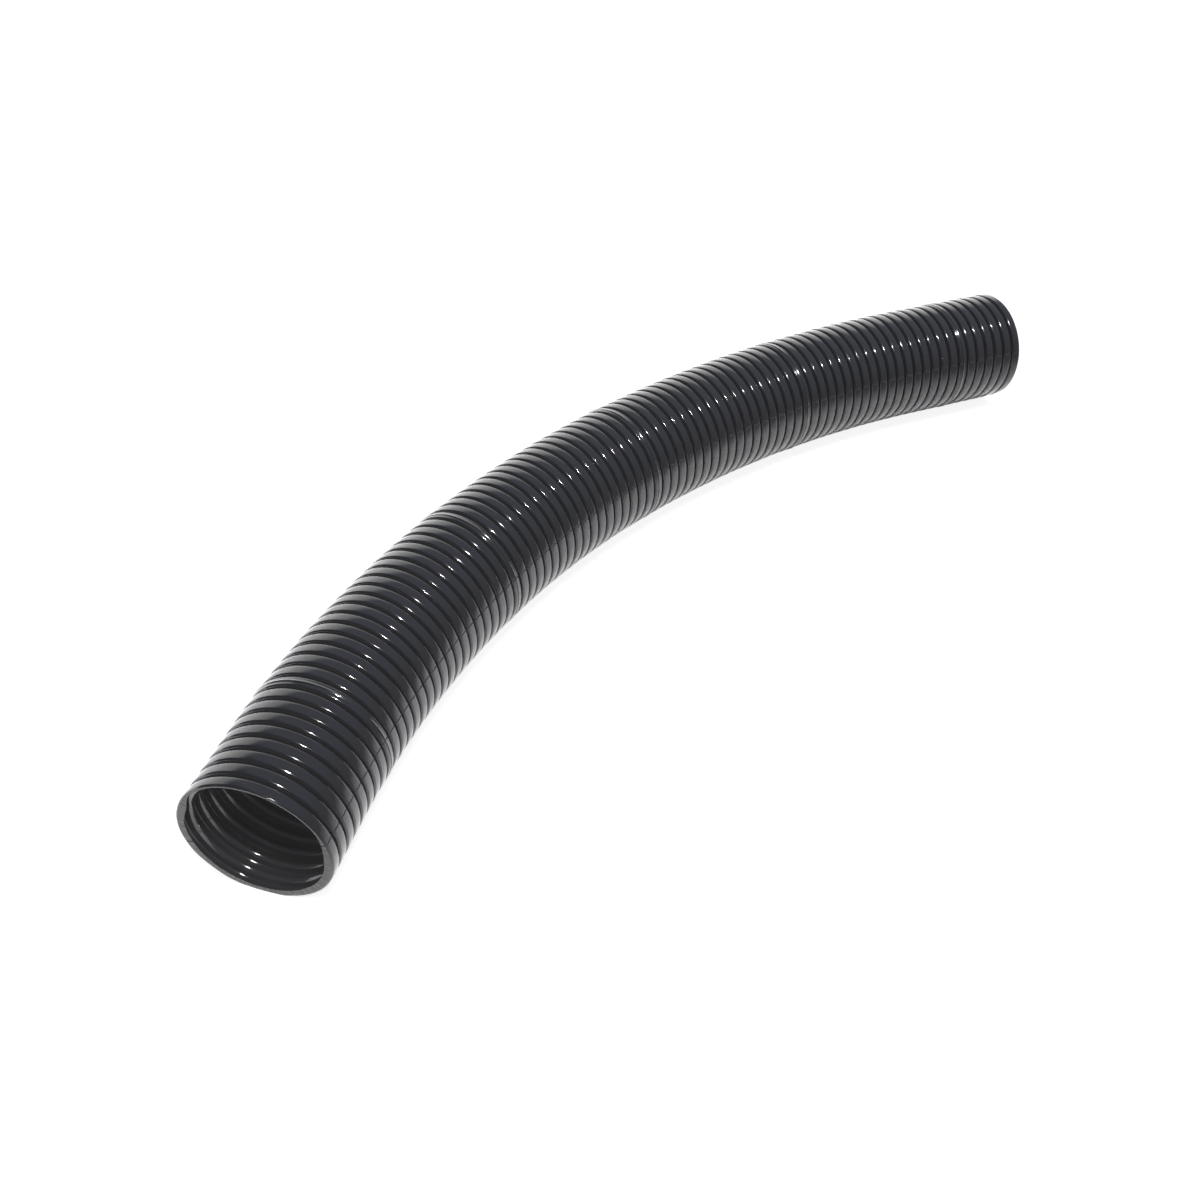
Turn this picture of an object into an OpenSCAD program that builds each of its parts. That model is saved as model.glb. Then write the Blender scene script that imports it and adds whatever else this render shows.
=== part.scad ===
// Ribbed vacuum hose for pools and spas. It is one moulded tube with ring-shaped
// ribs, cut square through a groove at both ends, and it lies in a gentle curve.
// The origin is the centre of the near mouth, and the hose sets off along +X.
// The tube flexes at three bends, so it is drawn as stretches that meet face to face.

/* [Tube] */
// Bore, which is the width of the fitting that goes in
bore_d = 38; // [25:0.5:50]
// Wall at the bottom of a groove
wall = 1; // [0.8:0.1:3]
// Height of a rib above the bottom of a groove
rib_h = 2; // [1:0.1:4]

/* [Ribs] */
// Distance from one rib to the next
rib_pitch = 4.55; // [3.6:0.05:8]
// Width of a rib across its crest
crest_w = 3.2; // [1.5:0.1:3.5]

/* [Stretches] */
// Ribs of each mouth, the stiff end that takes a fitting
mouth_ribs = 5; // [3:1:8]
// Ribs of each neck, the bend behind a mouth
neck_ribs = 8; // [6:1:12]
// Ribs of each run between two bends
run_ribs = 18; // [12:1:24]
// Ribs of the bend in the middle
middle_ribs = 25; // [19:2:35]

/* [Lie] */
// Ribs that run on straight behind the near mouth, before the curve
near_straight_ribs = 0; // [0:1:12]
// Ribs that run straight again after the curve, up to the far mouth
far_straight_ribs = 5; // [0:1:12]
// Angle that the near half turns through
near_angle = 30; // [5:1:60]
// Angle that the far half turns through
far_angle = 22; // [5:1:60]
// Depth of the flat that the ribs stand on
flat_depth = 0.5; // [0.2:0.1:1]

/* [Facets] */
// Sides of the tube along its curved stretches
sides = 16; // [12:4:24]
// Ribs from one ring of the bore to the next
bore_step = 3; // [1:1:6]

/* [Hidden] */

hose_colour = [0.05, 0.05, 0.06];
round_fn = 96;

// Radii from the centre line, and how far the floor lies below it
bore_r = bore_d / 2;
groove_r = bore_r + wall;
rib_r = groove_r + rib_h;
floor_drop = rib_r - flat_depth;

// A side of a ring lies nearer to the centre than its corners by this factor,
// so the corners of the bore stand out by it and leave the whole bore clear
bore_corner_r = bore_r / cos(180 / sides);

// Width of a rib's slope on each side of its crest
slope_w = (rib_pitch - crest_w) / 2;

// The first rib of each stretch, counted from the near mouth
near_neck_from = mouth_ribs;
near_run_from = near_neck_from + neck_ribs;
middle_from = near_run_from + run_ribs;
far_run_from = middle_from + middle_ribs;
far_neck_from = far_run_from + run_ribs;
far_mouth_from = far_neck_from + neck_ribs;
hose_ribs = far_mouth_from + mouth_ribs;

// Distances along the centre line, and the radius of each half's curve
hose_len = hose_ribs * rib_pitch;
mouth_len = mouth_ribs * rib_pitch;
curve_from = (mouth_ribs + near_straight_ribs) * rib_pitch;
curve_mid = hose_len / 2;
curve_to = hose_len - (mouth_ribs + far_straight_ribs) * rib_pitch;
near_r = (curve_mid - curve_from) / (near_angle * PI / 180);
far_r = (curve_to - curve_mid) / (far_angle * PI / 180);

// How far the hose has turned, in degrees to the right, at a distance along it
function turned(along) =
    along <= curve_from ? 0 :
    along <= curve_mid ? near_angle * (along - curve_from) / (curve_mid - curve_from) :
    along <= curve_to ? near_angle + far_angle * (along - curve_mid) / (curve_to - curve_mid) :
    near_angle + far_angle;

// The way from one heading to another on a curve of radius r
function way(r, from, to) = r * [sin(to) - sin(from), cos(to) - cos(from)];

// The centre line's place on the floor plan at a distance along it
function place(along) =
    along <= curve_from ? [along, 0] :
    along <= curve_mid ? place(curve_from) + way(near_r, 0, turned(along)) :
    along <= curve_to ? place(curve_mid) + way(far_r, near_angle, turned(along)) :
    place(curve_to) + (along - curve_to) * [cos(turned(along)), -sin(turned(along))];

// A ring of points round the centre line, from the floor side up the left,
// and none of them is lower than the floor
function ring(along, r) = [
    for (i = [0 : sides - 1])
        let (
            round_by = 360 * (i + 0.5) / sides,
            left = place(along) + r * sin(round_by) * [sin(turned(along)), cos(turned(along))]
        )
        [left.x, left.y, max(-r * cos(round_by), -floor_drop)]
];

// The rings of one rib: the groove before it, and the two edges of its crest
function rib_rings(rib) = [
    ring(rib * rib_pitch, groove_r),
    ring(rib * rib_pitch + slope_w, rib_r),
    ring((rib + 1) * rib_pitch - slope_w, rib_r)
];

// Every ring of a stretch, down its outside and back up its bore
function stretch_rings(first, ribs) = concat(
    [for (rib = [first : first + ribs - 1]) each rib_rings(rib)],
    [ring((first + ribs) * rib_pitch, groove_r)],
    [for (rib = [first + ribs : -bore_step : first + 1]) ring(rib * rib_pitch, bore_corner_r)],
    [ring(first * rib_pitch, bore_corner_r)]
);

// The two triangles between each pair of neighbours on two rings
function band(a, b) = [
    for (i = [0 : sides - 1])
        let (j = (i + 1) % sides)
        each [
            [a * sides + i, b * sides + i, b * sides + j],
            [a * sides + i, b * sides + j, a * sides + j]
        ]
];

// The outline of a mouth's wall from the end of the hose inwards, as [radius, distance]
function mouth_outline() = concat(
    [[bore_r, 0]],
    [
        for (rib = [0 : mouth_ribs - 1])
            each [
                [groove_r, rib * rib_pitch],
                [rib_r, rib * rib_pitch + slope_w],
                [rib_r, (rib + 1) * rib_pitch - slope_w]
            ]
    ],
    [[groove_r, mouth_len], [bore_r, mouth_len]]
);

// A stretch of ribbed tube along the centre line
module stretch(first, ribs) {
    rings = stretch_rings(first, ribs);
    count = len(rings);
    color(hose_colour)
        polyhedron(
            points = [for (r = rings) each r],
            faces = [for (k = [0 : count - 1]) each band(k, (k + 1) % count)],
            convexity = 10
        );
}

// A straight mouth from the end of the hose along +X, with a true round bore
module mouth() {
    flat_side = 4 * rib_r;
    color(hose_colour)
        difference() {
            rotate([0, 90, 0])
                rotate_extrude($fn = round_fn) polygon(mouth_outline());
            translate([-flat_side / 2, -flat_side / 2, -floor_drop - flat_side])
                cube(flat_side);
        }
}

module near_mouth() {
    mouth();
}

module near_neck() {
    stretch(near_neck_from, neck_ribs);
}

module near_run() {
    stretch(near_run_from, run_ribs);
}

module middle_bend() {
    stretch(middle_from, middle_ribs);
}

module far_run() {
    stretch(far_run_from, run_ribs);
}

module far_neck() {
    stretch(far_neck_from, neck_ribs);
}

module far_mouth() {
    translate(place(hose_len))
        rotate([0, 0, 180 - turned(hose_len)])
            mouth();
}

near_mouth();
near_neck();
near_run();
middle_bend();
far_run();
far_neck();
far_mouth();
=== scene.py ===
"""Dresses the ribbed vacuum hose: its moulded ribs, its knife-cut mouths and the studio floor it lies on."""

import logging
import math
from dataclasses import dataclass, field
from enum import Enum

import bpy
import numpy as np
from mathutils import Matrix, Vector


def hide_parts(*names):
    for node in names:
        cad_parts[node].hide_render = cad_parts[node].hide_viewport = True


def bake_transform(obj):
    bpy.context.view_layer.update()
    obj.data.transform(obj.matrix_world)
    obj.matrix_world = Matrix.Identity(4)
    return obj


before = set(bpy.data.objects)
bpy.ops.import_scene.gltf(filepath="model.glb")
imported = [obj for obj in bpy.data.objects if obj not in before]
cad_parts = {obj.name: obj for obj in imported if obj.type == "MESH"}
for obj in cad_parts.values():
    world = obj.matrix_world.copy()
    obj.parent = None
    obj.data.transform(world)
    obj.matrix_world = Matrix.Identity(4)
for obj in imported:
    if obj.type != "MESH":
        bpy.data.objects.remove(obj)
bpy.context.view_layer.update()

MM = 0.001
PITCH = 4.55 * MM
CREST_R = 22.0 * MM
FLOOR_AT = -21.5 * MM
WRAP = "along_and_round"

log = logging.getLogger("hose")


class Band(Enum):
    """What a strip of the hose's wall is, as the index of the finish it gets."""

    SKIN = 0
    BORE = 1
    CUT = 2


# ---------------- the tube


@dataclass(frozen=True)
class HoseRoute:
    """The hose's centre line, level with the near mouth's centre, as the part's own source lays it.

    Distances along it are in metres from the near mouth, and it turns to the right.
    """

    rib_pitch: float = PITCH
    mouth_ribs: int = 5
    neck_ribs: int = 8
    run_ribs: int = 18
    middle_ribs: int = 25
    near_straight_ribs: int = 0
    far_straight_ribs: int = 5
    near_angle: float = math.radians(30)
    far_angle: float = math.radians(22)

    @property
    def ribs(self) -> int:
        """The number of ribs from mouth to mouth."""
        return 2 * (self.mouth_ribs + self.neck_ribs + self.run_ribs) + self.middle_ribs

    @property
    def length(self) -> float:
        """The length of the centre line."""
        return self.ribs * self.rib_pitch

    def _legs(self) -> list[tuple[float, float, float, float]]:
        """Gives the straights and arcs in order.

        Returns:
            For each leg, where it starts and ends, and the headings there.
        """
        curve_from = (self.mouth_ribs + self.near_straight_ribs) * self.rib_pitch
        curve_to = self.length - (self.mouth_ribs + self.far_straight_ribs) * self.rib_pitch
        middle = self.length / 2
        whole = self.near_angle + self.far_angle
        return [
            (0.0, curve_from, 0.0, 0.0),
            (curve_from, middle, 0.0, self.near_angle),
            (middle, curve_to, self.near_angle, whole),
            (curve_to, self.length, whole, whole),
        ]

    def heading(self, along: np.ndarray) -> np.ndarray:
        """Finds how far the hose has turned to the right.

        Args:
            along: Distances along the centre line.

        Returns:
            The headings in radians, in the same shape.
        """
        legs = self._legs()
        places = [leg[0] for leg in legs] + [self.length]
        turns = [leg[2] for leg in legs] + [legs[-1][3]]
        return np.interp(along, places, turns)

    def place(self, along: np.ndarray) -> np.ndarray:
        """Finds points of the centre line.

        Args:
            along: Distances along the centre line.

        Returns:
            The points, with one more axis than the distances.
        """
        x = np.zeros_like(along)
        y = np.zeros_like(along)
        for start, end, turn_from, turn_to in self._legs():
            run = np.clip(along, start, end) - start
            if turn_to == turn_from:
                x += run * math.cos(turn_from)
                y -= run * math.sin(turn_from)
            else:
                radius = (end - start) / (turn_to - turn_from)
                turn = turn_from + run / radius
                x += radius * (np.sin(turn) - math.sin(turn_from))
                y += radius * (np.cos(turn) - math.cos(turn_from))
        return np.stack([x, y, np.zeros_like(x)], axis=-1)

    def centre_points(self, first: int, last: int) -> list[tuple[float, ...]]:
        """Lists the centres of the grooves from one rib's start to another's.

        Args:
            first: The first groove.
            last: The last groove.

        Returns:
            The points in order.
        """
        grooves = np.arange(first, last + 1) * self.rib_pitch
        return [tuple(float(v) for v in point) for point in self.place(grooves)]

    def surface(self, along: np.ndarray, radius: np.ndarray, round_by: np.ndarray) -> np.ndarray:
        """Finds points around the centre line.

        Args:
            along: Distances along the centre line.
            radius: Distances from it.
            round_by: Angles round it, from the right side up over the top.

        Returns:
            The points, with one more axis than the distances.
        """
        heading = self.heading(along)
        right = np.stack([-np.sin(heading), -np.cos(heading), np.zeros_like(heading)], axis=-1)
        up = np.array([0.0, 0.0, 1.0])
        outward = right * np.cos(round_by)[..., None] + up * np.sin(round_by)[..., None]
        return self.place(along) + outward * radius[..., None]


def hump(angle: np.ndarray, sharpness: int = 1) -> np.ndarray:
    """Gives a smooth hump over an angle: 1 at 0, and 0 at half a turn either way."""
    return (0.5 + 0.5 * np.cos(angle)) ** sharpness


def rounded(
    corners: list[tuple[float, float]], radii: list[float], steps: tuple[int, ...]
) -> np.ndarray:
    """Rounds the inner corners of an open outline with arcs.

    Args:
        corners: The outline's points, its two ends among them.
        radii: A radius for each corner between the ends.
        steps: How many facets each arc has.

    Returns:
        The rounded outline as rows of two numbers.
    """
    points = [np.array(corners[0])]
    for k, (radius, facets) in enumerate(zip(radii, steps), start=1):
        corner = np.array(corners[k])
        back = np.array(corners[k - 1]) - corner
        ahead = np.array(corners[k + 1]) - corner
        back /= np.linalg.norm(back)
        ahead /= np.linalg.norm(ahead)
        half = math.acos(float(np.clip(back @ ahead, -1, 1))) / 2
        middle = (back + ahead) / np.linalg.norm(back + ahead)
        centre = corner + middle * radius / math.sin(half)
        first = corner + back * radius / math.tan(half) - centre
        last = corner + ahead * radius / math.tan(half) - centre
        start = math.atan2(first[1], first[0])
        sweep = math.atan2(first[0] * last[1] - first[1] * last[0], first @ last)
        for step in range(facets + 1):
            angle = start + sweep * step / facets
            points.append(centre + radius * np.array([math.cos(angle), math.sin(angle)]))
    points.append(np.array(corners[-1]))
    return np.array(points)


@dataclass(frozen=True)
class RibProfile:
    """The wall over one rib, from the middle of a groove to the middle of the next.

    A rib is a little off its groove's middle, and its front shoulder, towards the near mouth,
    is rounder than its back one.
    """

    pitch: float = PITCH
    crest_r: float = CREST_R
    groove_r: float = 20.0 * MM
    front_foot: float = 0.58 * MM
    front_lip: float = 0.75 * MM
    back_foot: float = 0.22 * MM
    back_lip: float = 0.34 * MM
    crest_at: float = 2.55 * MM
    crown_slope: float = math.radians(4)
    front_shoulder: float = 0.7 * MM
    back_shoulder: float = 0.45 * MM
    crown_round: float = 12.0 * MM
    root_round: float = 0.15 * MM
    outer_facets: tuple[int, ...] = (2, 9, 2, 5, 2)
    bead_half: float = 0.34 * MM
    bead_high: float = 0.14 * MM
    bead_points: int = 9
    ridge_r: float = 19.1 * MM
    ridge_before: float = 0.21 * MM
    ridge_slope: float = math.radians(40)
    slope_run: float = 0.65 * MM
    hollow_r: float = 21.4 * MM
    hollow_to: float = 3.29 * MM
    front_wall: float = 0.12 * MM
    inner_round: float = 0.35 * MM
    inner_facets: tuple[int, ...] = (3, 3, 3, 2, 2)

    def outer(self) -> np.ndarray:
        """Draws the outside.

        Returns:
            Rows of distance along and radius, from one groove's middle to the next.
        """
        peak_r = self.crest_r + self.crown_round * (1 / math.cos(self.crown_slope) - 1)
        front_r = peak_r - (self.crest_at - self.front_lip) * math.tan(self.crown_slope)
        back_at = self.pitch - self.back_lip
        back_r = peak_r - (back_at - self.crest_at) * math.tan(self.crown_slope)
        corners = [
            (0.0, self.groove_r),
            (self.front_foot, self.groove_r),
            (self.front_lip, front_r),
            (self.crest_at, peak_r),
            (back_at, back_r),
            (self.pitch - self.back_foot, self.groove_r),
            (self.pitch, self.groove_r),
        ]
        shoulders = [self.front_shoulder, self.crown_round, self.back_shoulder]
        radii = [self.root_round, *shoulders, self.root_round]
        return rounded(corners, radii, self.outer_facets)

    def beaded(self) -> np.ndarray:
        """Draws the outside of a rib that has a fine raised line round its crest.

        Returns:
            Rows of distance along and radius, as for a plain rib.
        """
        outline = self.outer()
        crest = outline[np.argmax(outline[:, 1]), 0]
        off = self.bead_half * np.linspace(-1, 1, self.bead_points)
        lift = self.bead_high * np.cos(off / self.bead_half * math.pi / 2)
        ground = np.interp(crest + off, outline[:, 0], outline[:, 1])
        before = outline[outline[:, 0] < crest - self.bead_half]
        after = outline[outline[:, 0] > crest + self.bead_half]
        return np.concatenate([before, np.stack([crest + off, ground + lift], axis=-1), after])

    def inner(self) -> np.ndarray:
        """Draws the inside, where each rib is hollow and each groove a ridge that slopes to the mouth.

        Returns:
            Rows of distance along and radius, from one ridge's middle to the next.
        """
        slope_to = self.pitch - self.ridge_before
        slope_high = self.slope_run * math.tan(self.ridge_slope)
        corners = [
            (0.0, self.ridge_r),
            (self.front_foot + self.front_wall, self.ridge_r),
            (self.front_lip + self.front_wall, self.hollow_r),
            (self.hollow_to, self.hollow_r),
            (slope_to - self.slope_run, self.ridge_r + slope_high),
            (slope_to, self.ridge_r),
            (self.pitch, self.ridge_r),
        ]
        return rounded(corners, [self.inner_round] * len(self.inner_facets), self.inner_facets)


@dataclass(frozen=True)
class KnifeCut:
    """A mouth cut by hand at the foot of its first rib, a little askew.

    The cut's distance from the groove's middle swings round the mouth, and the end that it
    leaves has spread a little to one side. Its angles are counted from the first parting line.
    """

    least: float = 0.65 * MM
    swing: float = 0.30 * MM
    latest: float = math.radians(62)
    lean_sharpness: int = 2
    spread: float = 1.2 * MM
    spread_to: float = math.radians(205)
    spread_sharpness: int = 4
    spread_run: float = 9.0 * MM
    waver: float = 0.02 * MM
    fewest_waves: int = 3
    most_waves: int = 11
    burr: float = 0.10 * MM
    seed: int = 4

    def depth(self, round_by: np.ndarray) -> np.ndarray:
        """Finds how far into the first rib the cut lies.

        Args:
            round_by: Angles round the mouth.

        Returns:
            Distances from the groove's middle.
        """
        draw = np.random.default_rng(self.seed)
        counts = range(self.fewest_waves, self.most_waves + 1)
        waves = sum(draw.normal() * np.sin(k * round_by + draw.uniform(0, 2 * math.pi)) for k in counts)
        lean = hump(round_by - self.latest, self.lean_sharpness)
        return self.least + self.swing * lean + self.waver * waves / math.sqrt(len(counts))

    def spreading(self, from_mouth: np.ndarray, round_by: np.ndarray) -> np.ndarray:
        """Finds how far the wall has spread.

        Args:
            from_mouth: Distances from the mouth along the tube.
            round_by: Angles round the mouth.

        Returns:
            What to add to the radius, in the same shape.
        """
        near = hump(math.pi * np.clip(from_mouth / self.spread_run, 0.0, 1.0))
        side = hump(round_by - self.spread_to, self.spread_sharpness)
        return self.spread * near * side


@dataclass(frozen=True)
class Columns:
    """How points stand round the tube: evenly, and closer where the mould's two halves met."""

    count: int = 108
    parting_at: float = math.radians(17.8)
    parting_drift: float = math.radians(0.025)
    parting_half: float = 0.24 * MM
    parting_deep: float = 0.20 * MM
    guard: float = 1.4
    on_line: float = 1e-6
    crest_r: float = CREST_R

    def angles(self) -> np.ndarray:
        """Lists the columns' angles from the first parting line.

        Returns:
            The angles in order, with both parting lines among them.
        """
        step = 2 * math.pi / self.count
        edge = self.parting_half / self.crest_r
        even = [k * step for k in range(self.count)]
        sides = (-self.guard, -1, 1, self.guard)
        lines = [k * math.pi + side * edge for k in (0, 1) for side in sides]
        return np.array(sorted(even + [angle % (2 * math.pi) for angle in lines]))

    def sink(self) -> np.ndarray:
        """Finds how deep each column is sunk into the outside, along the parting lines alone."""
        from_line = np.abs(np.sin(self.angles()))
        return np.where(from_line < self.on_line, self.parting_deep, 0.0)


@dataclass
class HoseStretch:
    """One piece of the tube, from one groove to another, as a closed wall.

    The floor presses its outside flat, and its inside stays a little above that.
    """

    name: str
    first: int
    last: int
    route: HoseRoute
    profile: RibProfile
    columns: Columns
    near_cut: KnifeCut | None = None
    far_cut: KnifeCut | None = None
    bead_every: int = 18
    bead_from: int = 9
    floor_at: float = FLOOR_AT
    floor_soft: float = 0.10 * MM
    floor_wall: float = 0.12 * MM
    jitter: float = 0.02 * MM
    groove_sink: float = 0.3
    seed: int = 11
    rings: list[tuple[np.ndarray, np.ndarray, Band]] = field(default_factory=list, init=False)
    inside_from: int = field(default=0, init=False)

    def _outline(self, rib: int, outline: np.ndarray) -> np.ndarray:
        """Lays one rib's outline round the tube, and trims it where the rib is cut.

        Args:
            rib: The rib's number from the near mouth.
            outline: Rows of distance along and radius over one pitch.

        Returns:
            The outline for each column, as distance along and radius.
        """
        angles = self.columns.angles()
        laid = np.repeat(outline[:, None, :], len(angles), axis=1)
        pitch = self.profile.pitch
        for cut, at_rib, mirrored in (
            (self.near_cut, self.first, False),
            (self.far_cut, self.last - 1, True),
        ):
            if cut is None or rib != at_rib:
                continue
            facing = outline if not mirrored else np.flip(outline, axis=0) * [-1, 1] + [pitch, 0]
            steps = np.hypot(*np.diff(facing, axis=0).T)
            run = np.concatenate([[0.0], np.cumsum(steps)])
            middle = run[np.searchsorted(facing[:, 0], pitch / 2)]
            cut_run = np.interp(cut.depth(angles), facing[:, 0], run)
            share = np.clip(1 - run / middle, 0, 1)[:, None]
            moved = run[:, None] + share * cut_run
            trimmed = np.stack([np.interp(moved, run, facing[:, k]) for k in (0, 1)], axis=-1)
            trimmed[0, :, 1] -= cut.burr
            laid = trimmed if not mirrored else np.flip(trimmed, axis=0) * [-1, 1] + [pitch, 0]
        return laid + np.array([rib * pitch, 0.0])

    def _wall(self) -> None:
        """Lists the rings of the wall, down the outside and back up the inside."""
        draw = np.random.default_rng(self.seed + self.first)
        sink = self.columns.sink()
        plain, beaded, inner = self.profile.outer(), self.profile.beaded(), self.profile.inner()
        rib_high = self.profile.crest_r - self.profile.groove_r
        for rib in range(self.first, self.last):
            has_bead = (rib + 1 - self.bead_from) % self.bead_every == 0
            outer = beaded if has_bead else plain
            laid = self._outline(rib, outer)
            grown = draw.normal() * self.jitter
            reach = (outer[:, 1] - self.profile.groove_r) / rib_high
            keep = len(laid) if rib == self.last - 1 else len(laid) - 1
            for k in range(keep):
                radius = laid[k, :, 1] + grown * reach[k] - sink * max(reach[k], self.groove_sink)
                self.rings.append((laid[k, :, 0], radius, Band.SKIN))
        self._close(Band.CUT if self.far_cut else Band.BORE)
        self.inside_from = len(self.rings)
        for rib in reversed(range(self.first, self.last)):
            laid = self._outline(rib, inner)
            skip = 0 if rib == self.last - 1 else 1
            for row in laid[::-1][skip:]:
                self.rings.append((row[:, 0], row[:, 1], Band.BORE))
        self._close(Band.CUT if self.near_cut else Band.BORE)

    def _close(self, band: Band) -> None:
        """Says what the strip after the last ring is, which joins the outside and the inside."""
        along, radius, _ = self.rings[-1]
        self.rings[-1] = (along, radius, band)

    def build(self) -> bpy.types.Object:
        """Builds the wall as a mesh.

        Returns:
            The piece, linked to the scene.
        """
        self._wall()
        along = np.array([ring[0] for ring in self.rings])
        radius = np.array([ring[1] for ring in self.rings])
        bands = [ring[2].value for ring in self.rings]
        angles = self.columns.angles()
        for cut, from_mouth in ((self.near_cut, along), (self.far_cut, self.route.length - along)):
            if cut:
                radius += cut.spreading(from_mouth, angles[None, :])
        drift = self.columns.parting_at + self.columns.parting_drift * along / self.profile.pitch
        round_by = angles[None, :] + drift
        points = self.route.surface(along, radius, round_by)
        lowest = np.full(along.shape, self.floor_at)
        lowest[self.inside_from:] += self.floor_wall
        rise = (points[..., 2] - lowest) / self.floor_soft
        points[..., 2] = lowest + self.floor_soft * np.logaddexp(0.0, rise)

        ring_count, column_count = along.shape
        ring = np.arange(ring_count)[:, None]
        column = np.arange(column_count)[None, :]
        next_ring, next_column = (ring + 1) % ring_count, (column + 1) % column_count
        quads = np.stack(
            [
                ring * column_count + column,
                next_ring * column_count + column,
                next_ring * column_count + next_column,
                ring * column_count + next_column,
            ],
            axis=-1,
        ).reshape(-1, 4)
        mesh = bpy.data.meshes.new(self.name)
        mesh.from_pydata(points.reshape(-1, 3).tolist(), [], quads.tolist())
        mesh.polygons.foreach_set("material_index", np.repeat(bands, column_count).astype(np.int32))
        mesh.polygons.foreach_set("use_smooth", np.ones(len(quads), dtype=bool))
        self._wrap(mesh, along, angles, quads)
        self._sharpen(mesh, bands, column_count)
        mesh.update()
        piece = bpy.data.objects.new(self.name, mesh)
        bpy.context.scene.collection.objects.link(piece)
        return piece

    def _wrap(self, mesh: bpy.types.Mesh, along: np.ndarray, angles: np.ndarray, quads: np.ndarray) -> None:
        """Writes the wall's own coordinates in metres: along the tube, and round it.

        Args:
            mesh: The mesh.
            along: The rings' distances along.
            angles: The columns' angles.
            quads: The faces' corners.
        """
        column_count = len(angles)
        corner_ring, corner_column = np.divmod(quads, column_count)
        u = along[corner_ring, corner_column]
        v = angles[corner_column]
        last_to_first = corner_column[:, [0]] == column_count - 1
        v = np.where(last_to_first & (corner_column == 0), v + 2 * math.pi, v)
        wrap = mesh.uv_layers.new(name=WRAP)
        wrap.data.foreach_set("uv", np.stack([u, v * self.profile.crest_r], axis=-1).ravel())

    def _sharpen(self, mesh: bpy.types.Mesh, bands: list[int], column_count: int) -> None:
        """Keeps an edge sharp where the wall's strips meet.

        Args:
            mesh: The mesh.
            bands: The finish of the strip after each ring.
            column_count: The number of columns.
        """
        changes = {k for k, band in enumerate(bands) if band != bands[k - 1]}
        if not self.near_cut:
            changes |= {0, len(bands) - 1}
        if not self.far_cut:
            changes |= {self.inside_from - 1, self.inside_from}
        ends = np.empty(len(mesh.edges) * 2, dtype=np.int32)
        mesh.edges.foreach_get("vertices", ends)
        rings = ends.reshape(-1, 2) // column_count
        sharp = (rings[:, 0] == rings[:, 1]) & np.isin(rings[:, 0], list(changes))
        attribute = mesh.attributes.new("sharp_edge", "BOOLEAN", "EDGE")
        attribute.data.foreach_set("value", sharp)


# ---------------- finishes


class Nodes:
    """Adds nodes to one tree and joins them up."""

    # Where a Mix node for colours has its share, its two colours and its result
    mix_inputs: tuple[int, ...] = (0, 6, 7)
    mix_output: int = 2

    def __init__(self, tree: bpy.types.NodeTree) -> None:
        """Takes the tree to build in."""
        self.tree = tree

    def add(self, kind: str, inputs: dict | None = None, **settings: object) -> bpy.types.Node:
        """Adds a node.

        Args:
            kind: The node's type.
            inputs: Values or sockets for its inputs, by name or index.
            settings: The node's own settings.

        Returns:
            The node.
        """
        node = self.tree.nodes.new(kind)
        for name, value in settings.items():
            setattr(node, name, value)
        for key, value in (inputs or {}).items():
            if isinstance(value, bpy.types.NodeSocket):
                self.tree.links.new(value, node.inputs[key])
            else:
                node.inputs[key].default_value = value
        return node

    def noise(
        self, place: bpy.types.NodeSocket, scale: object, detail: float, rough: float = 0.5
    ) -> bpy.types.NodeSocket:
        """Adds a Noise node.

        Args:
            place: The coordinates it is read at.
            scale: How many features there are to a metre.
            detail: How many finer layers it has.
            rough: How strong the finer layers are.

        Returns:
            The noise, from 0 to 1.
        """
        inputs = {"Vector": place, "Scale": scale, "Detail": detail, "Roughness": rough}
        return self.add("ShaderNodeTexNoise", inputs).outputs["Fac"]

    def maths(self, operation: str, *values: object) -> bpy.types.NodeSocket:
        """Adds a Math node and returns what it puts out."""
        return self.add("ShaderNodeMath", dict(enumerate(values)), operation=operation).outputs[0]

    def vector(self, operation: str, *values: object) -> bpy.types.Node:
        """Adds a Vector Math node."""
        return self.add("ShaderNodeVectorMath", dict(enumerate(values)), operation=operation)

    def between(
        self, value: object, low: float, high: float, to_low: float = 0.0, to_high: float = 1.0
    ) -> bpy.types.NodeSocket:
        """Maps a value smoothly from one range to another.

        Args:
            value: The socket to map.
            low: The value that gives to_low.
            high: The value that gives to_high.
            to_low: The result at low.
            to_high: The result at high.

        Returns:
            The mapped value.
        """
        inputs = {"Value": value, "From Min": low, "From Max": high, "To Min": to_low, "To Max": to_high}
        return self.add("ShaderNodeMapRange", inputs, interpolation_type="SMOOTHSTEP").outputs["Result"]

    def mix(self, share: object, first: object, second: object) -> bpy.types.NodeSocket:
        """Mixes two colours.

        Args:
            share: How much of the second colour there is, from 0 to 1.
            first: The first colour.
            second: The second colour.

        Returns:
            The mixed colour.
        """
        mixer = self.add("ShaderNodeMix", data_type="RGBA")
        for index, value in zip(self.mix_inputs, (share, first, second)):
            if isinstance(value, bpy.types.NodeSocket):
                self.tree.links.new(value, mixer.inputs[index])
            else:
                mixer.inputs[index].default_value = value
        return mixer.outputs[self.mix_output]


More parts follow.
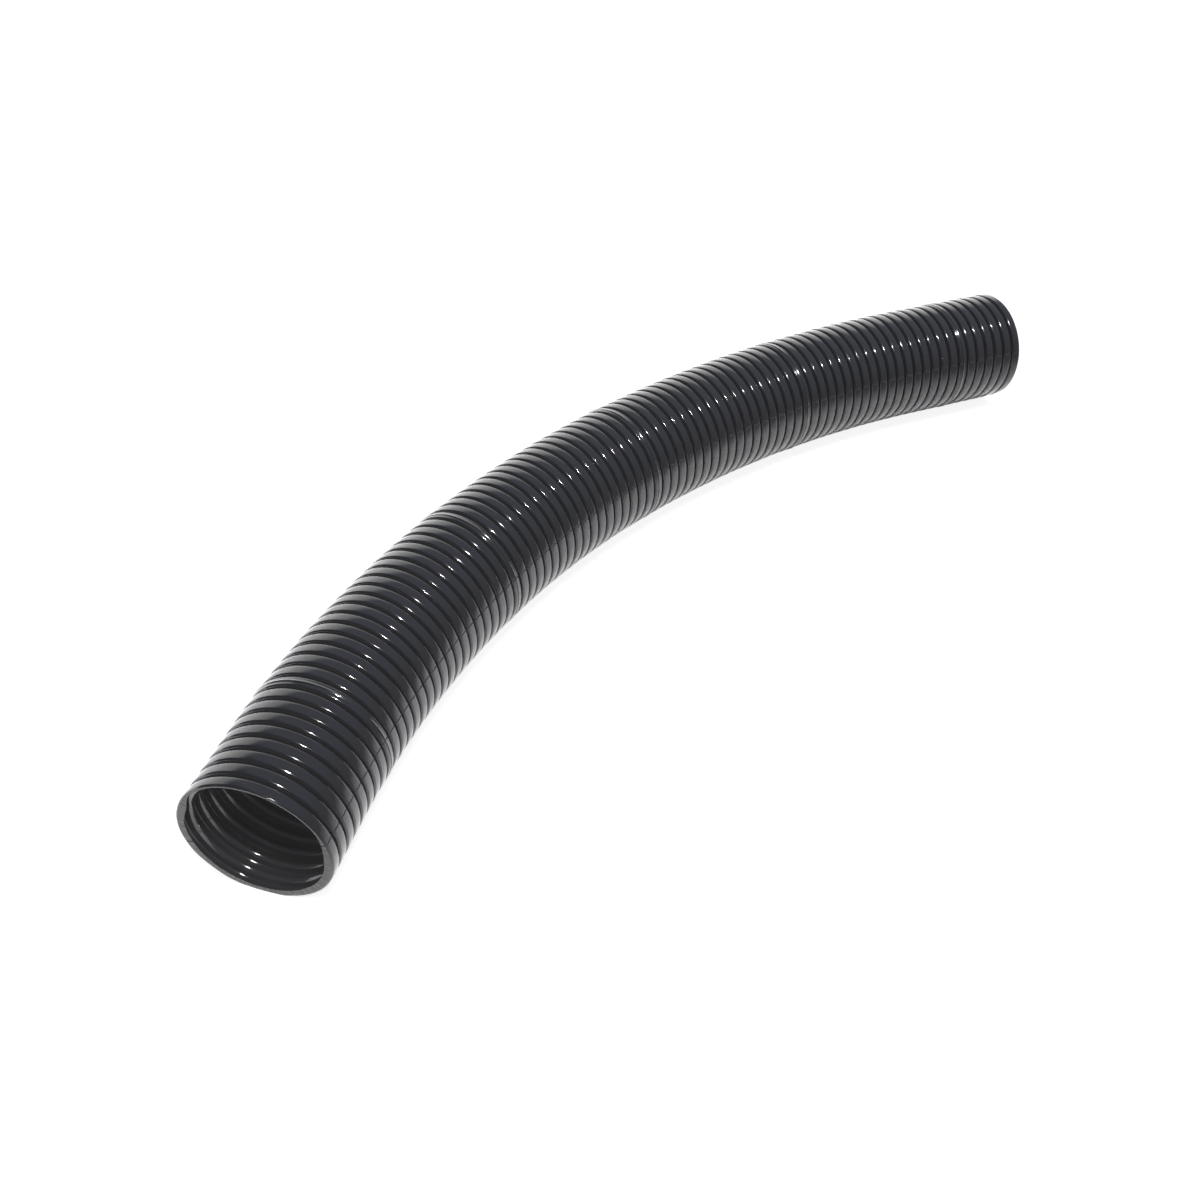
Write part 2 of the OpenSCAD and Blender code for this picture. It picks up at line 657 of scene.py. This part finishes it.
class SharedEffect:
    """A shader node group that several finishes use. It is built once."""

    name = ""
    inputs: dict[str, float] = {}
    output = "Mask"

    def group(self) -> bpy.types.NodeTree:
        """Builds the group, or finds it.

        Returns:
            The node group, with Place among its inputs.
        """
        found = bpy.data.node_groups.get(self.name)
        if found:
            return found
        tree = bpy.data.node_groups.new(self.name, "ShaderNodeTree")
        tree.interface.new_socket("Place", in_out="INPUT", socket_type="NodeSocketVector")
        for name, value in self.inputs.items():
            socket = tree.interface.new_socket(name, in_out="INPUT", socket_type="NodeSocketFloat")
            socket.default_value = value
        tree.interface.new_socket(self.output, in_out="OUTPUT", socket_type="NodeSocketFloat")
        nodes = Nodes(tree)
        given = nodes.add("NodeGroupInput").outputs
        result = self.wire(nodes, given)
        nodes.add("NodeGroupOutput", {self.output: result})
        return tree

    def wire(self, nodes: Nodes, given: bpy.types.NodeOutputs) -> bpy.types.NodeSocket:
        """Wires the group's inside from its inputs to the value it puts out."""
        raise NotImplementedError

    def place(self, nodes: Nodes, place: bpy.types.NodeSocket, **values: float) -> bpy.types.NodeSocket:
        """Puts the group into a material.

        Args:
            nodes: The material's nodes.
            place: The surface's own coordinates in metres.
            values: Values for the group's inputs, by name.

        Returns:
            The value that the group puts out.
        """
        node = nodes.add("ShaderNodeGroup", node_tree=self.group())
        nodes.tree.links.new(place, node.inputs["Place"])
        for name, value in values.items():
            node.inputs[name].default_value = value
        return node.outputs[self.output]


class HandlingWear(SharedEffect):
    """Patches where the gloss is dulled by handling, with fine rub lines round the tube."""

    name = "handling_wear"
    inputs = {"Patch Size": 20 * MM, "Line Width": 0.6 * MM}
    patch_range: tuple[float, float] = (0.42, 0.72)
    line_range: tuple[float, float] = (0.35, 0.75)
    line_stretch: tuple[float, float, float] = (1.0, 0.06, 1.0)

    def wire(self, nodes: Nodes, given: bpy.types.NodeOutputs) -> bpy.types.NodeSocket:
        """Multiplies broad patches by fine lines that run round the tube.

        Args:
            nodes: The group's nodes.
            given: The group's inputs.

        Returns:
            The mask of the wear.
        """
        broad = nodes.maths("DIVIDE", 1.0, given["Patch Size"])
        patches = nodes.noise(given["Place"], broad, detail=3.0, rough=0.6)
        fine = nodes.maths("DIVIDE", 1.0, given["Line Width"])
        stretched = nodes.vector("MULTIPLY", given["Place"], self.line_stretch).outputs[0]
        lines = nodes.noise(stretched, fine, detail=2.0)
        worn = nodes.between(patches, *self.patch_range)
        return nodes.maths("MULTIPLY", worn, nodes.between(lines, *self.line_range))


class DustSpecks(SharedEffect):
    """Fine pale specks of dust, thinly spread."""

    name = "dust_specks"
    inputs = {"Spacing": 4 * MM, "Speck Size": 0.12 * MM, "Share": 0.15}

    def wire(self, nodes: Nodes, given: bpy.types.NodeOutputs) -> bpy.types.NodeSocket:
        """Keeps a share of the cells of a cell pattern, and marks a dot in each.

        Args:
            nodes: The group's nodes.
            given: The group's inputs.

        Returns:
            The mask of the specks.
        """
        density = nodes.maths("DIVIDE", 1.0, given["Spacing"])
        cells = nodes.add("ShaderNodeTexVoronoi", {"Vector": given["Place"], "Scale": density})
        reach = nodes.maths("MULTIPLY", given["Speck Size"], density)
        dot = nodes.maths("LESS_THAN", cells.outputs["Distance"], reach)
        chance = nodes.add("ShaderNodeSeparateColor", {"Color": cells.outputs["Color"]}).outputs["Red"]
        kept = nodes.maths("LESS_THAN", chance, given["Share"])
        return nodes.maths("MULTIPLY", dot, kept)


class PartingLine(SharedEffect):
    """The two fine lines along the tube where the mould's halves met."""

    name = "parting_line"
    inputs = {"Half Width": 0.20 * MM, "Half Turn": CREST_R * math.pi}

    def wire(self, nodes: Nodes, given: bpy.types.NodeOutputs) -> bpy.types.NodeSocket:
        """Marks what lies within half the line's width of a whole number of half turns round.

        Args:
            nodes: The group's nodes.
            given: The group's inputs.

        Returns:
            The mask of both lines.
        """
        round_by = nodes.add("ShaderNodeSeparateXYZ", {0: given["Place"]}).outputs["Y"]
        from_line = nodes.maths("PINGPONG", round_by, given["Half Turn"])
        nearest = nodes.maths("MINIMUM", from_line, nodes.maths("SUBTRACT", given["Half Turn"], from_line))
        return nodes.maths("LESS_THAN", nearest, given["Half Width"])


class GrooveFilmAndPaintedFill(SharedEffect):
    """A dull film in the grooves and on the ribs' flanks, whose lighter grey is painted fill light that
    lifts the shade there.
    """

    name = "groove_film_and_painted_fill"
    inputs = {"Pitch": PITCH, "Front": 0.78 * MM, "Back": 0.36 * MM, "Fade": 0.12 * MM}

    def wire(self, nodes: Nodes, given: bpy.types.NodeOutputs) -> bpy.types.NodeSocket:
        """Marks each groove, from the back lip of one rib to the front lip of the next.

        Args:
            nodes: The group's nodes.
            given: The group's inputs.

        Returns:
            The mask of the film.
        """
        along = nodes.add("ShaderNodeSeparateXYZ", {0: given["Place"]}).outputs["X"]
        in_pitch = nodes.maths("FLOORED_MODULO", along, given["Pitch"])
        before = nodes.maths("SUBTRACT", given["Front"], in_pitch)
        to_next = nodes.maths("SUBTRACT", given["Pitch"], in_pitch)
        behind = nodes.maths("SUBTRACT", given["Back"], to_next)
        depth = nodes.maths("DIVIDE", nodes.maths("MAXIMUM", before, behind), given["Fade"])
        return nodes.between(depth, -1.0, 1.0)


class MouldedGrain(SharedEffect):
    """The faint unevenness of a blown plastic skin."""

    name = "moulded_grain"
    inputs = {"Ripple": 6 * MM, "Grain": 0.8 * MM}
    output = "Height"
    grain_share: float = 0.03

    def wire(self, nodes: Nodes, given: bpy.types.NodeOutputs) -> bpy.types.NodeSocket:
        """Adds slow ripples and a fine grain.

        Args:
            nodes: The group's nodes.
            given: The group's inputs.

        Returns:
            The height, for a bump.
        """
        slow = nodes.maths("DIVIDE", 1.0, given["Ripple"])
        quick = nodes.maths("DIVIDE", 1.0, given["Grain"])
        ripples = nodes.noise(given["Place"], slow, detail=1.0)
        grain = nodes.noise(given["Place"], quick, detail=2.0)
        return nodes.maths("ADD", ripples, nodes.maths("MULTIPLY", grain, self.grain_share))


@dataclass(frozen=True)
class Plastic:
    """Black polyethylene with the finish of one face of the hose."""

    name: str
    colour: tuple[float, float, float]
    worn_colour: tuple[float, float, float]
    roughness: float
    worn_roughness: float
    wear_share: float = 0.5
    mottle: float = 0.0
    mottle_size: float = 0.9 * MM
    mottle_range: tuple[float, float] = (0.35, 0.7)
    # A faint glow: painted light that stands in for light bounced inside the bore
    painted_bounce_glow: float = 0.0
    painted_bounce_glow_colour: tuple[float, float, float] = (1.0, 1.0, 1.04)
    film_and_fill: float = 0.0
    # Painted fill light: the lighter grey in the grooves lifts the shade that falls in them
    film_and_painted_fill_colour: tuple[float, float, float] = (0.050, 0.050, 0.052)
    film_roughness: float = 0.4
    # The parting lines are painted near black: painted shade in their sunk groove
    parting_painted_shade_colour: tuple[float, float, float] = (0.004, 0.004, 0.004)
    dust_share: float = 0.12
    dust_colour: tuple[float, float, float] = (0.45, 0.44, 0.42)
    bump: float = 0.015
    bump_depth: float = 0.02 * MM
    ior: float = 1.52

    def material(self) -> bpy.types.Material:
        """Builds the material.

        Returns:
            The material, which reads the wall's own coordinates.
        """
        material = bpy.data.materials.new(self.name)
        material.use_nodes = True
        material.node_tree.nodes.clear()
        nodes = Nodes(material.node_tree)
        place = nodes.add("ShaderNodeUVMap", uv_map=WRAP).outputs["UV"]
        wear = HandlingWear().place(nodes, place)
        specks = DustSpecks().place(nodes, place, Share=self.dust_share)
        height = MouldedGrain().place(nodes, place)
        blotches = nodes.noise(place, 1 / self.mottle_size, detail=4.0, rough=0.65)
        mottled = nodes.maths("MULTIPLY", nodes.between(blotches, *self.mottle_range), self.mottle)
        share = nodes.maths("MAXIMUM", nodes.maths("MULTIPLY", wear, self.wear_share), mottled)
        colour = nodes.mix(share, (*self.colour, 1.0), (*self.worn_colour, 1.0))
        dusty = nodes.mix(specks, colour, (*self.dust_colour, 1.0))
        # The groove film's lighter grey is painted fill light; its roughness is a dull film
        film_and_fill = nodes.maths("MULTIPLY", GrooveFilmAndPaintedFill().place(nodes, place), self.film_and_fill)
        filmed_and_fill_lit = nodes.mix(film_and_fill, dusty, (*self.film_and_painted_fill_colour, 1.0))
        # Painted shade: the sunk parting lines are coloured darker than the skin
        parting = PartingLine().place(nodes, place)
        seamed_and_shaded = nodes.mix(parting, filmed_and_fill_lit, (*self.parting_painted_shade_colour, 1.0))
        polish = nodes.between(wear, 0.0, 1.0, self.roughness, self.worn_roughness)
        dull = nodes.maths("MAXIMUM", polish, nodes.maths("MULTIPLY", film_and_fill, self.film_roughness))
        roughness = nodes.maths("MAXIMUM", dull, parting)
        normal = nodes.add(
            "ShaderNodeBump", {"Strength": self.bump, "Distance": self.bump_depth, "Height": height}
        ).outputs["Normal"]
        shader = nodes.add(
            "ShaderNodeBsdfPrincipled",
            {
                "Base Color": seamed_and_shaded,
                "Roughness": roughness,
                "Normal": normal,
                "IOR": self.ior,
                # The glow is painted light, standing in for light bounced inside the bore
                "Emission Color": (*self.painted_bounce_glow_colour, 1.0),
                "Emission Strength": self.painted_bounce_glow,
            },
        )
        nodes.add("ShaderNodeOutputMaterial", {"Surface": shader.outputs["BSDF"]})
        return material


SKIN = Plastic(
    name="moulded_skin",
    colour=(0.0210, 0.0215, 0.0245),
    worn_colour=(0.030, 0.031, 0.034),
    roughness=0.10,
    worn_roughness=0.115,
    # The grooves get a dull film and a lighter grey of painted fill light
    film_and_fill=1.0,
)
BORE = Plastic(
    name="bore_skin",
    colour=(0.030, 0.030, 0.032),
    worn_colour=(0.045, 0.045, 0.047),
    roughness=0.09,
    worn_roughness=0.14,
    # The bore glows faintly: painted light standing in for light bounced inside it
    painted_bounce_glow=0.011,
)
CUT = Plastic(
    name="knife_cut",
    colour=(0.036, 0.036, 0.035),
    worn_colour=(0.130, 0.130, 0.123),
    roughness=0.42,
    worn_roughness=0.5,
    mottle=0.8,
    bump=0.3,
    ior=1.40,
)


# ---------------- the whole hose


@dataclass
class Hose:
    """The whole tube: two ends that take a fitting, and the long middle between their necks."""

    route: HoseRoute = field(default_factory=HoseRoute)
    profile: RibProfile = field(default_factory=RibProfile)
    columns: Columns = field(default_factory=Columns)
    near_cut: KnifeCut = field(default_factory=KnifeCut)
    far_cut: KnifeCut = field(
        default_factory=lambda: KnifeCut(latest=math.radians(215), spread=0.5 * MM, seed=9)
    )

    def _stretch(self, name: str, first: int, last: int, **cuts: KnifeCut) -> bpy.types.Object:
        """Builds and dresses one stretch.

        Args:
            name: The piece's name.
            first: The groove it starts in.
            last: The groove it ends in.
            cuts: The mouth cut it has, if any.

        Returns:
            The piece.
        """
        stretch = HoseStretch(name, first, last, self.route, self.profile, self.columns, **cuts)
        piece = stretch.build()
        log.info("%s: ribs %d to %d, %d faces", name, first + 1, last, len(piece.data.polygons))
        return piece

    def _groove(self, number: int) -> tuple[float, ...]:
        """The centre of a groove, counted from the near mouth."""
        return self.route.centre_points(number, number)[0]

    def build(self) -> list[bpy.types.Object]:
        """Builds the three pieces and hides the part's own bodies that they stand for.

        Returns:
            The pieces in order.
        """
        route = self.route
        near_neck = route.mouth_ribs
        middle = near_neck + route.neck_ribs
        bend_from = middle + route.run_ribs
        bend_to = bend_from + route.middle_ribs
        far_neck = bend_to + route.run_ribs
        far_mouth = far_neck + route.neck_ribs

        near_end = self._stretch("hose_near_end", 0, middle, near_cut=self.near_cut)
        long_run = self._stretch("hose_middle", middle, far_neck)
        far_end = self._stretch("hose_far_end", far_neck, route.ribs, far_cut=self.far_cut)
        finishes = [SKIN.material(), BORE.material(), CUT.material()]
        for piece in (near_end, long_run, far_end):
            for finish in finishes:
                piece.data.materials.append(finish)

        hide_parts("near_mouth", "near_neck")
        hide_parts("near_run", "middle_bend", "far_run")
        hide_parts("far_neck", "far_mouth")
        self._groove(near_neck)
        self._groove(middle)
        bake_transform(near_end)
        self._groove(bend_from)
        self._groove(bend_to)
        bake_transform(long_run)
        self._groove(far_neck)
        self._groove(far_mouth)
        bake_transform(far_end)
        self._groove(middle)
        route.centre_points(middle, far_neck)
        return [near_end, long_run, far_end]


# ---------------- the studio


@dataclass(frozen=True)
class Studio:
    """The camera, a pale floor, a soft sky, a soft lamp and two small ones for the glints."""

    eye: tuple[float, float, float] = (-0.1535, -0.1271, 0.2481)
    heading: float = math.radians(13.64)
    tilt_down: float = math.radians(41.52)
    roll: float = math.radians(2.14)
    lens: float = 34.58
    sensor: float = 36.0
    nearest_seen: float = 0.01
    floor_at: float = FLOOR_AT
    floor_half: float = 3.0
    floor_colour: tuple[float, float, float] = (0.32, 0.32, 0.32)
    floor_glow: float = 0.86
    # What the gloss sees of the floor is painted: a pool of light near the hose, and painted shade further
    # to its right
    floor_gloss_painted_light: float = 2.1
    floor_gloss_painted_shade: float = 0.33
    floor_dim_heading: float = math.radians(-119)
    floor_dim_from: float = 0.02
    floor_dim_run: float = 0.06
    lamp_heading: float = math.radians(229.3)
    lamp_height: float = math.radians(69.3)
    lamp_angle: float = math.radians(12)
    lamp_strength: float = 1.4
    glint_angle: float = math.radians(2.4)
    glint_apart: float = math.radians(2.9)
    glint_strength: float = 5.0
    halo_level: float = 1.7
    halo_core: float = math.radians(3)
    halo_edge: float = math.radians(14)
    fill: tuple[float, float, float] = (0.6, 0.6, 0.618)
    bright_heading: float = math.radians(-40)
    bright_edge: float = 0.12
    bright_level: tuple[float, float, float] = (0.43, 0.46, 0.56)
    bright_low_level: tuple[float, float, float] = (0.34, 0.34, 0.35)
    bright_rise: tuple[float, float] = (0.1, 0.62)
    dim_level: tuple[float, float, float] = (0.12, 0.12, 0.14)
    sweep_heading: float = math.radians(29)
    sweep_half: float = math.radians(37)
    sweep_top: float = math.radians(34)
    sweep_low_level: float = 2.3
    sweep_high_level: float = 1.6
    gap_heading: float = math.radians(82)
    gap_half: float = math.radians(14)
    gap_top: float = math.radians(42)
    gap_level: float = 0.08
    panel_soft: float = math.radians(7)

    def camera(self) -> bpy.types.Object:
        """Stands the camera.

        Returns:
            The camera, made the scene's own.
        """
        level = math.cos(self.tilt_down)
        ahead = Vector(
            (math.cos(self.heading) * level, math.sin(self.heading) * level, -math.sin(self.tilt_down))
        )
        right = Vector((math.sin(self.heading), -math.cos(self.heading), 0.0))
        up = right.cross(ahead)
        rolled_right = right * math.cos(self.roll) + up * math.sin(self.roll)
        rolled_up = up * math.cos(self.roll) - right * math.sin(self.roll)
        data = bpy.data.cameras.new("view")
        data.lens = self.lens
        data.sensor_width = self.sensor
        data.sensor_fit = "HORIZONTAL"
        data.clip_start = self.nearest_seen
        camera = bpy.data.objects.new("view", data)
        turn = Matrix((rolled_right, rolled_up, -ahead)).transposed().to_4x4()
        camera.matrix_world = Matrix.Translation(self.eye) @ turn
        bpy.context.scene.collection.objects.link(camera)
        bpy.context.scene.camera = camera
        return camera

    def _to_lamp(self) -> Vector:
        """Gives the direction of the lamps' middle.

        Returns:
            The direction, of length 1.
        """
        level = math.cos(self.lamp_height)
        along, across = math.cos(self.lamp_heading) * level, math.sin(self.lamp_heading) * level
        return Vector((along, across, math.sin(self.lamp_height)))

    def _hang(self, name: str, strength: float, angle: float, aside: float = 0.0) -> bpy.types.Object:
        """Hangs a lamp.

        Args:
            name: The lamp's name.
            strength: How much light it gives.
            angle: How wide it looks.
            aside: How far to the side of the lamps' middle it hangs, as an angle.

        Returns:
            The lamp.
        """
        data = bpy.data.lights.new(name, "SUN")
        data.energy = strength
        data.angle = angle
        lamp = bpy.data.objects.new(name, data)
        to_lamp = Matrix.Rotation(aside, 3, "X") @ self._to_lamp()
        lamp.rotation_euler = to_lamp.to_track_quat("Z", "Y").to_euler()
        bpy.context.scene.collection.objects.link(lamp)
        return lamp

    def lamp(self) -> bpy.types.Object:
        """Hangs the soft lamp that lights the hose and the floor.

        Returns:
            The lamp, which the gloss doesn't show.
        """
        lamp = self._hang("lamp", self.lamp_strength, self.lamp_angle)
        lamp.visible_glossy = False
        return lamp

    def glint(self, side: int) -> bpy.types.Object:
        """Hangs one of the two small bright lamps that put a glint on each rib.

        Args:
            side: Which of the two, as -1 or 1.

        Returns:
            The lamp, which shows in the gloss alone.
        """
        aside = side * self.glint_apart / 2
        lamp = self._hang("glint", self.glint_strength, self.glint_angle, aside)
        lamp.visible_diffuse = False
        return lamp

    def floor(self) -> bpy.types.Object:
        """Lays the pale floor. The gloss shows it brighter than white, as a painted pool of light, and
        dimmer further off to the hose's right, as painted shade.

        Returns:
            The floor.
        """
        half = self.floor_half
        corners = [(x * half, y * half, self.floor_at) for x, y in ((-1, -1), (1, -1), (1, 1), (-1, 1))]
        mesh = bpy.data.meshes.new("floor")
        mesh.from_pydata(corners, [], [(0, 1, 2, 3)])
        floor = bpy.data.objects.new("floor", mesh)
        bpy.context.scene.collection.objects.link(floor)
        material = bpy.data.materials.new("pale_floor")
        material.use_nodes = True
        material.node_tree.nodes.clear()
        nodes = Nodes(material.node_tree)
        path = nodes.add("ShaderNodeLightPath").outputs
        clear = nodes.maths("MAXIMUM", path["Is Camera Ray"], path["Is Transmission Ray"])
        glow = nodes.maths("MULTIPLY", clear, self.floor_glow)
        position = nodes.add("ShaderNodeNewGeometry").outputs["Position"]
        # Painted light for the gloss: brighter than white near the hose, fading to painted shade off to its
        # right
        off = self._towards(nodes, position, self.floor_dim_heading)
        short_of = nodes.maths("SUBTRACT", self.floor_dim_from, off)
        further = nodes.maths("DIVIDE", short_of, self.floor_dim_run)
        share = nodes.maths("MINIMUM", nodes.maths("EXPONENT", further), 1.0)
        lit = nodes.maths("MULTIPLY_ADD", share, self.floor_gloss_painted_light - self.floor_gloss_painted_shade, self.floor_gloss_painted_shade)
        shown = nodes.mix(path["Is Glossy Ray"], (*self.floor_colour, 1.0), lit)
        shader = nodes.add(
            "ShaderNodeBsdfPrincipled",
            {
                "Base Color": shown,
                "Roughness": 1.0,
                "Specular IOR Level": 0.0,
                "Emission Color": (1.0, 1.0, 1.0, 1.0),
                "Emission Strength": glow,
            },
        )
        nodes.add("ShaderNodeOutputMaterial", {"Surface": shader.outputs["BSDF"]})
        mesh.materials.append(material)
        return floor

    def _towards(self, nodes: Nodes, way: bpy.types.NodeSocket, heading: float) -> bpy.types.NodeSocket:
        """Gives how far a direction or a place lies towards a heading, and less than 0 against it."""
        ahead = (math.cos(heading), math.sin(heading), 0.0)
        return nodes.vector("DOT_PRODUCT", way, ahead).outputs["Value"]

    def _levelled(self, nodes: Nodes, way: bpy.types.NodeSocket) -> bpy.types.NodeSocket:
        """Gives a direction's heading, as a level direction."""
        level_way = nodes.vector("MULTIPLY", way, (1.0, 1.0, 0.0)).outputs[0]
        return nodes.vector("NORMALIZE", level_way).outputs[0]

    def _panel(
        self, nodes: Nodes, way: bpy.types.NodeSocket, heading: float, half: float, top: float
    ) -> bpy.types.NodeSocket:
        """Masks an upright panel that stands on the floor.

        Args:
            nodes: The world's nodes.
            way: The direction looked in.
            heading: Where the panel's middle stands.
            half: Half of its width, as an angle.
            top: The height of its top edge, as an angle.

        Returns:
            The mask, with soft edges.
        """
        facing = self._towards(nodes, self._levelled(nodes, way), heading)
        soft = self.panel_soft
        across = nodes.between(facing, math.cos(half + soft), math.cos(half - soft))
        height = nodes.add("ShaderNodeSeparateXYZ", {0: way}).outputs["Z"]
        below = nodes.between(height, math.sin(top - soft), math.sin(top + soft), 1.0, 0.0)
        return nodes.maths("MULTIPLY", across, below)

    def _gloss(self, nodes: Nodes, way: bpy.types.NodeSocket) -> bpy.types.NodeSocket:
        """Draws the studio that the gloss shows.

        Args:
            nodes: The world's nodes.
            way: The direction looked in.

        Returns:
            The colour: a bright half, a dim half, a white sweep with a dark gap beside it, and a halo.
        """
        height = nodes.add("ShaderNodeSeparateXYZ", {0: way}).outputs["Z"]
        high = nodes.between(height, *self.bright_rise)
        bright = nodes.mix(high, (*self.bright_low_level, 1.0), (*self.bright_level, 1.0))
        to_bright = self._towards(nodes, way, self.bright_heading)
        half = nodes.between(to_bright, -self.bright_edge, self.bright_edge)
        room = nodes.mix(half, (*self.dim_level, 1.0), bright)
        gap = self._panel(nodes, way, self.gap_heading, self.gap_half, self.gap_top)
        room = nodes.mix(gap, room, (*[self.gap_level] * 3, 1.0))
        sweep = self._panel(nodes, way, self.sweep_heading, self.sweep_half, self.sweep_top)
        levels = (self.sweep_low_level, self.sweep_high_level)
        graded = nodes.between(height, 0.0, math.sin(self.sweep_top), *levels)
        room = nodes.mix(sweep, room, graded)
        to_lamp = nodes.vector("DOT_PRODUCT", way, tuple(self._to_lamp())).outputs["Value"]
        halo = nodes.between(to_lamp, math.cos(self.halo_edge), math.cos(self.halo_core))
        return nodes.mix(halo, room, (*[self.halo_level] * 3, 1.0))

    def sky(self) -> bpy.types.World:
        """Makes the soft light all round: white to the camera, and a studio's shape in the gloss.

        Returns:
            The world, made the scene's own.
        """
        world = bpy.data.worlds.new("soft_sky")
        world.use_nodes = True
        world.node_tree.nodes.clear()
        nodes = Nodes(world.node_tree)
        way = nodes.add("ShaderNodeTexCoord").outputs["Generated"]
        gloss = self._gloss(nodes, way)
        path = nodes.add("ShaderNodeLightPath").outputs
        lit = nodes.mix(path["Is Glossy Ray"], (*self.fill, 1.0), gloss)
        clear = nodes.maths("MAXIMUM", path["Is Camera Ray"], path["Is Transmission Ray"])
        shown = nodes.mix(clear, lit, (1.0, 1.0, 1.0, 1.0))
        background = nodes.add("ShaderNodeBackground", {"Color": shown, "Strength": 1.0})
        nodes.add("ShaderNodeOutputWorld", {"Surface": background.outputs[0]})
        bpy.context.scene.world = world
        return world


def main() -> None:
    """Builds the studio and the hose."""
    logging.basicConfig(level=logging.INFO, format="%(message)s")
    bpy.context.scene.view_settings.view_transform = "Standard"
    studio = Studio()
    lamps = [studio.lamp(), studio.glint(-1), studio.glint(1)]
    for made in (studio.camera(), *lamps, studio.floor(), studio.sky()):
        log.info("studio: %s", made.name)
    for piece in Hose().build():
        log.info("%s is dressed", piece.name)


if __name__ == "__main__":
    main()
